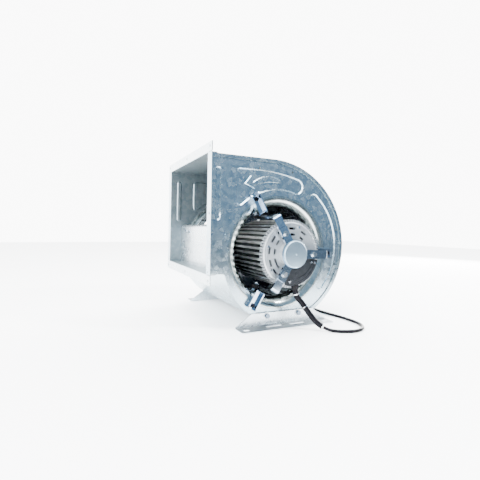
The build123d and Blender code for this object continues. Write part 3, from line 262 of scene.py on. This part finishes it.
def galvanised(name, low, high, rough, spangle=110, inside=None, inner_shade=0.45):
    """Hot-dip zinc: spangle grains of slightly different brightness and gloss, and faint rubs.
    inside gives the weights of X, Y and Z that tell the inner faces from the outer; inner faces get
    painted shade, a darker grey colour, and a rougher finish."""
    shader = Shader(name)
    grains = shader.cells(spangle)
    fine = shader.noise(260, 4)
    cloud = shader.noise(9, 3)
    rubs = shader.noise(40, 2, 0.4, (1.0, 1.0, 14.0))
    stains = shader.ramp(cloud, (0.90, 0.92, 0.94), (1, 1, 1), 0.3, 0.7)
    specks = shader.ramp(fine, (0.93, 0.93, 0.93), (1, 1, 1), 0.3, 0.6)
    streaks = shader.ramp(rubs, (0, 0, 0), (0.06, 0.06, 0.06), 0.62, 0.78)
    tone = shader.mix(shader.ramp(grains, low, high), stains, 1.0)
    tone = shader.mix(tone, specks, 0.6)
    tone = shader.mix(tone, streaks, 1.0, "ADD")
    gloss = shader.span(shader.mix(grains, fine, 0.3, "MIX"), *rough)
    if inside:
        inward = facing_inward(shader, inside)
        # painted shade: the colour of inner faces is multiplied down by a flat grey
        tone = shader.mix(tone, (inner_shade, inner_shade, inner_shade, 1), inward)
        gloss = shader.mix(gloss, INSIDE_ROUGH, inward, "MIX")
    shader.to("Base Color", tone)
    shader.to("Roughness", gloss)
    shader.set(Metallic=1.0)
    shader.bump(fine, 0.08, 0.0003)
    return shader.material


def plated(name, low, high, rough, scale=180):
    """Bright zinc plating or turned steel."""
    shader = Shader(name)
    cloud = shader.noise(scale, 3)
    shader.to("Base Color", shader.ramp(cloud, low, high, 0.3, 0.7))
    shader.set(Metallic=1.0)
    shader.to("Roughness", shader.span(shader.noise(scale * 2.5, 4), *rough))
    shader.bump(cloud, 0.05, 0.0002)
    return shader.material


def cast(name, low, high, rough):
    """Die-cast aluminium with a fine skin."""
    shader = Shader(name)
    cloud = shader.noise(60, 3)
    skin = shader.noise(900, 3)
    shader.to("Base Color", shader.ramp(cloud, low, high, 0.3, 0.7))
    shader.set(Metallic=0.7)
    shader.to("Roughness", shader.span(skin, *rough))
    shader.bump(skin, 0.2, 0.0003)
    return shader.material


def finned(name, low, high, dark, rough):
    """Bright fins, with painted shade in the grooves between them: darker toward the groove floor."""
    shader = Shader(name)
    cloud = shader.noise(60, 3)
    skin = shader.noise(900, 3)
    across = shader.vector("MULTIPLY", shader.where, AROUND)
    radius = shader.vector("DISTANCE", across, (SHAFT_X, 0, SHAFT_Z))
    depth = shader.span(radius, 0, 1, GROOVE_R, FIN_R)
    bright = shader.ramp(cloud, low, high, 0.3, 0.7)
    # painted shade: the colour fades to the dark tone toward the groove floor
    shader.to("Base Color", shader.mix((*dark, 1), bright, depth, "MIX"))
    shader.set(Metallic=1.0)
    shader.to("Roughness", shader.span(skin, *rough))
    shader.bump(skin, 0.2, 0.0003)
    return shader.material


def moulded(name, low, high, rough, shine=0.2):
    """Plastic, rubber or paint."""
    shader = Shader(name)
    skin = shader.noise(1400, 3)
    shader.to("Base Color", shader.ramp(shader.noise(120, 3), low, high, 0.3, 0.7))
    shader.to("Roughness", shader.span(skin, *rough))
    shader.set(Specular_IOR_Level=shine)
    shader.bump(skin, 0.15, 0.0002)
    return shader.material


def laminated(name):
    """Stacked electrical steel, seen edge-on."""
    shader = Shader(name)
    bands = shader.noise(2000, 1, 0.5, (0.02, 1.0, 0.02))
    shader.to("Base Color", shader.ramp(bands, (0.10, 0.105, 0.115), (0.30, 0.31, 0.33)))
    shader.set(Metallic=0.9, Roughness=0.45)
    shader.bump(bands, 0.3, 0.0002)
    return shader.material


def wound(name):
    """Enamelled copper wire in a wound bundle, its colour darkened far below copper's own as painted
    shade for the inside of the motor.
    """
    shader = Shader(name)
    strands = shader.noise(700, 2, 0.5, (1.0, 0.15, 1.0))
    shader.to("Base Color", shader.ramp(strands, (0.012, 0.007, 0.006), (0.035, 0.018, 0.012)))
    shader.set(Metallic=0.7, Roughness=0.35)
    shader.bump(strands, 0.6, 0.0006)
    return shader.material


SKINS = {
    # side plates and wrapper: painted shade on their inner faces, picked out by inside
    "plate": galvanised(
        "zinc_plate", (0.40, 0.50, 0.56), (0.52, 0.62, 0.67), (0.18, 0.30), inside=SIDEWAYS
    ),
    "wrap": galvanised(
        "zinc_wrapper", (0.40, 0.50, 0.55), (0.50, 0.60, 0.64), (0.20, 0.30), inside=AROUND
    ),
    "cutoff": galvanised("zinc_cutoff", (0.58, 0.64, 0.66), (0.68, 0.73, 0.75), (0.24, 0.34)),
    "ring": galvanised("zinc_ring", (0.52, 0.58, 0.57), (0.64, 0.69, 0.68), (0.16, 0.22), 60),
    # wheel: zinc tinted near black, painted shade for the wheel deep inside the scroll
    "wheel": galvanised("zinc_wheel_painted_shade", (0.10, 0.11, 0.12), (0.16, 0.18, 0.19), (0.25, 0.36)),
    "rims": galvanised("zinc_rims", (0.40, 0.44, 0.45), (0.52, 0.56, 0.57), (0.2, 0.3)),
    # foot: painted shade darkens its up-facing faces, chiefly the floor flange, toward a 0.3 grey
    "foot": galvanised(
        "zinc_foot", (0.68, 0.75, 0.78), (0.80, 0.85, 0.88), (0.22, 0.34), inside=UPRIGHT, inner_shade=0.3
    ),
    "plating": plated("zinc_plating", (0.36, 0.45, 0.56), (0.48, 0.57, 0.67), (0.08, 0.16)),
    "bolt": plated("bolt_zinc", (0.50, 0.54, 0.58), (0.72, 0.75, 0.78), (0.14, 0.26), 400),
    "screw": plated("screw_zinc", (0.10, 0.13, 0.17), (0.22, 0.27, 0.32), (0.14, 0.26), 400),
    "black": plated("black_oxide", (0.006, 0.007, 0.010), (0.018, 0.020, 0.028), (0.3, 0.42), 400),
    "cast": cast("cast_aluminium", (0.34, 0.37, 0.40), (0.44, 0.47, 0.49), (0.30, 0.40)),
    "fins": finned(
        "finned_aluminium", (0.66, 0.68, 0.67), (0.76, 0.78, 0.77), (0.03, 0.035, 0.035), (0.24, 0.34)
    ),
    "cap": plated("satin_cap", (0.26, 0.36, 0.44), (0.32, 0.42, 0.50), (0.36, 0.42), 40),
    "cover": moulded("dark_cover", (0.010, 0.012, 0.014), (0.018, 0.020, 0.024), (0.25, 0.36)),
    "rubber": moulded(
        "black_rubber", (0.005, 0.005, 0.006), (0.010, 0.010, 0.011), (0.5, 0.65), shine=0.06
    ),
    "turned": plated("turned_steel", (0.40, 0.41, 0.43), (0.56, 0.57, 0.59), (0.22, 0.34)),
    "core": laminated("core_steel"),
    "copper": wound("copper_winding_painted_shade"),
    "jacket": moulded(
        "lead_jacket", (0.002, 0.002, 0.003), (0.005, 0.005, 0.007), (0.25, 0.35), shine=0.06
    ),
    "plug": moulded("connector_body", (0.62, 0.62, 0.57), (0.72, 0.72, 0.68), (0.4, 0.5)),
    "tie": plated("tie_foil", (0.62, 0.64, 0.68), (0.86, 0.88, 0.90), (0.15, 0.3), 300),
}
NODE_SKINS = {
    "plate": ["side_plate_motor_side", "side_plate_far_side"],
    "wrap": ["scroll_wrapper"],
    "cutoff": ["cutoff_plate", "flange_angle_top", "flange_angle_bottom"],
    "ring": ["inlet_ring_motor_side", "inlet_ring_far_side"],
    "wheel": ["wheel_disc", "blades_motor_side", "blades_far_side"],
    "rims": ["wheel_ring_motor_side", "wheel_ring_far_side"],
    "foot": ["foot_motor_side", "foot_far_side"],
    "plating": [
        *[f"mount_clip_{place}" for place in ("upper", "right", "lower")],
        *[f"arm_strap_{place}" for place in ("upper", "right", "lower")],
        "spider_plate",
    ],
    "bolt": [
        "lug_bolts",
        "isolator_bolts",
        "flange_rivets",
        "hub_rivets",
        "terminal_cover_screws",
        "end_shield_screws",
        "hub_screws",
        "preload_washer",
        "shaft_circlip",
    ],
    "screw": ["foot_screws", "cutoff_screws"],
    "black": ["clip_bolts", "hub_set_screw"],
    "cast": ["end_shield_outer", "end_shield_inner", "rotor_end_rings"],
    "fins": ["motor_frame"],
    "cap": ["hub_cap"],
    "cover": ["terminal_cover"],
    "rubber": [
        *[f"isolator_{place}" for place in ("upper", "right", "lower")],
        "strain_relief",
    ],
    "turned": [
        "motor_shaft",
        "wheel_hub",
        *[f"bearing_{part}_{end}" for part in ("shell", "race") for end in ("outer", "inner")],
    ],
    "core": ["stator_core", "rotor_core"],
    "copper": ["stator_windings"],
    "plug": ["lead_connector"],
}


def dress_nodes():
    for skin, names in NODE_SKINS.items():
        for name in names:
            node = bpy.data.objects[name]
            for material_slot in node.material_slots:
                material_slot.material = SKINS[skin]


# ---- motor lead -----------------------------------------------------------------------------
def at_shaft(radius, degrees, y):
    turn = math.radians(degrees)
    return (SHAFT_X + radius * math.cos(turn), y, SHAFT_Z + radius * math.sin(turn))


LEAD_D = 0.007
SLEEVE_D = 0.0125
TIE_D = 0.0137
TIE_SHARES = (0.08, 0.42, 0.985)  # of the sleeve's length
UNIT_BEVEL = 1.0  # each point's radius is then the tube's radius in metres
LEAD_START = at_shaft(0.078, -82, -0.198)
HANGING_ROUTE = [
    LEAD_START,
    at_shaft(0.094, -82, -0.198),
    (0.0145, -0.202, 0.060),
    (0.0215, -0.2065, 0.0475),
    (0.0315, -0.213, 0.0315),
    (0.0425, -0.2215, 0.015),
]
FLOOR_ROUTE = [
    (0.057, -0.2415, 0.0036),
    (0.077, -0.259, 0.0035),
    (0.102, -0.268, 0.0035),
    (0.128, -0.265, 0.0035),
    (0.149, -0.249, 0.0035),
    (0.160, -0.225, 0.0035),
    (0.162, -0.195, 0.0035),
    (0.160, -0.160, 0.0035),
    (0.154, -0.125, 0.0035),
    (0.150, -0.090, 0.0035),
    (0.152, -0.052, 0.0035),
    (0.157, -0.018, 0.0035),
]
COIL_CENTRE = (0.115, 0.020)
COIL_OUT_R = 0.042
TAIL_ROUTE = [(0.150, 0.040, 0.0105), (0.150, 0.060, 0.0065), (0.150, 0.0785, 0.0065)]


def coil_route():
    """Two turns: the first winds in on the floor, the second climbs onto it."""
    points = []
    per_turn = 16
    for i in range(2 * per_turn):
        turn = 2 * math.pi * i / per_turn
        wind = i / per_turn
        radius = COIL_OUT_R - LEAD_D * min(wind, 1.0)
        height = LEAD_D / 2
        if wind > 1:
            climb = math.pi / 2 * (wind - 1)
            radius = COIL_OUT_R - LEAD_D * (wind - 1) - LEAD_D * math.cos(climb)
            height = LEAD_D / 2 + LEAD_D * math.sin(climb)
        points.append(
            (
                COIL_CENTRE[0] + radius * math.cos(turn),
                COIL_CENTRE[1] + radius * math.sin(turn),
                height,
            )
        )
    return points


def route_curve(name, points, diameter, skin, smooth=True):
    curve = bpy.data.curves.new(name, "CURVE")
    curve.dimensions = "3D"
    curve.resolution_u = 12
    curve.bevel_depth = UNIT_BEVEL
    curve.bevel_resolution = 6
    curve.use_fill_caps = True
    spline = curve.splines.new("NURBS" if smooth else "POLY")
    spline.points.add(len(points) - 1)
    for point, place in zip(spline.points, points):
        point.co = (*place, 1)
        point.radius = diameter / 2
    if smooth:
        spline.order_u = 3
        spline.use_endpoint_u = True
    piece = bpy.data.objects.new(name, curve)
    piece.data.materials.append(SKINS[skin])
    bpy.context.collection.objects.link(piece)
    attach(piece, "housing")
    return piece


def line_of(piece):
    """Points of a curve's own line, and the distance along it to each."""
    piece.data.bevel_depth = 0
    graph = bpy.context.evaluated_depsgraph_get()
    mesh = bpy.data.meshes.new_from_object(piece.evaluated_get(graph))
    piece.data.bevel_depth = UNIT_BEVEL
    points = [Vector(v.co) for v in mesh.vertices]
    bpy.data.meshes.remove(mesh)
    along = [0.0]
    for a, b in zip(points, points[1:]):
        along.append(along[-1] + (b - a).length)
    return points, along


def motor_lead():
    route = [*HANGING_ROUTE, *FLOOR_ROUTE, *coil_route(), *TAIL_ROUTE]
    lead = route_curve("motor_lead", route, LEAD_D, "jacket")
    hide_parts("lead_cable", "lead_coil")
    points, along = line_of(lead)

    sleeve_mid = (Vector(HANGING_ROUTE[-1]) + Vector(FLOOR_ROUTE[0])) / 2
    end = min(range(len(points)), key=lambda i: (points[i] - sleeve_mid).length)
    cloth_line = points[: end + 1]
    sleeve = route_curve("lead_sleeve_cloth", cloth_line, SLEEVE_D, "jacket", smooth=False)
    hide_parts("lead_sleeve")

    for number, share in enumerate(TIE_SHARES):
        start = next(i for i, d in enumerate(along) if d >= share * along[end])
        tie_line = points[start : start + 2]
        tie = route_curve(f"lead_tie_{number}", tie_line, TIE_D, "tie", smooth=False)


place_camera()
studio()
world_light()
dress_nodes()
motor_lead()
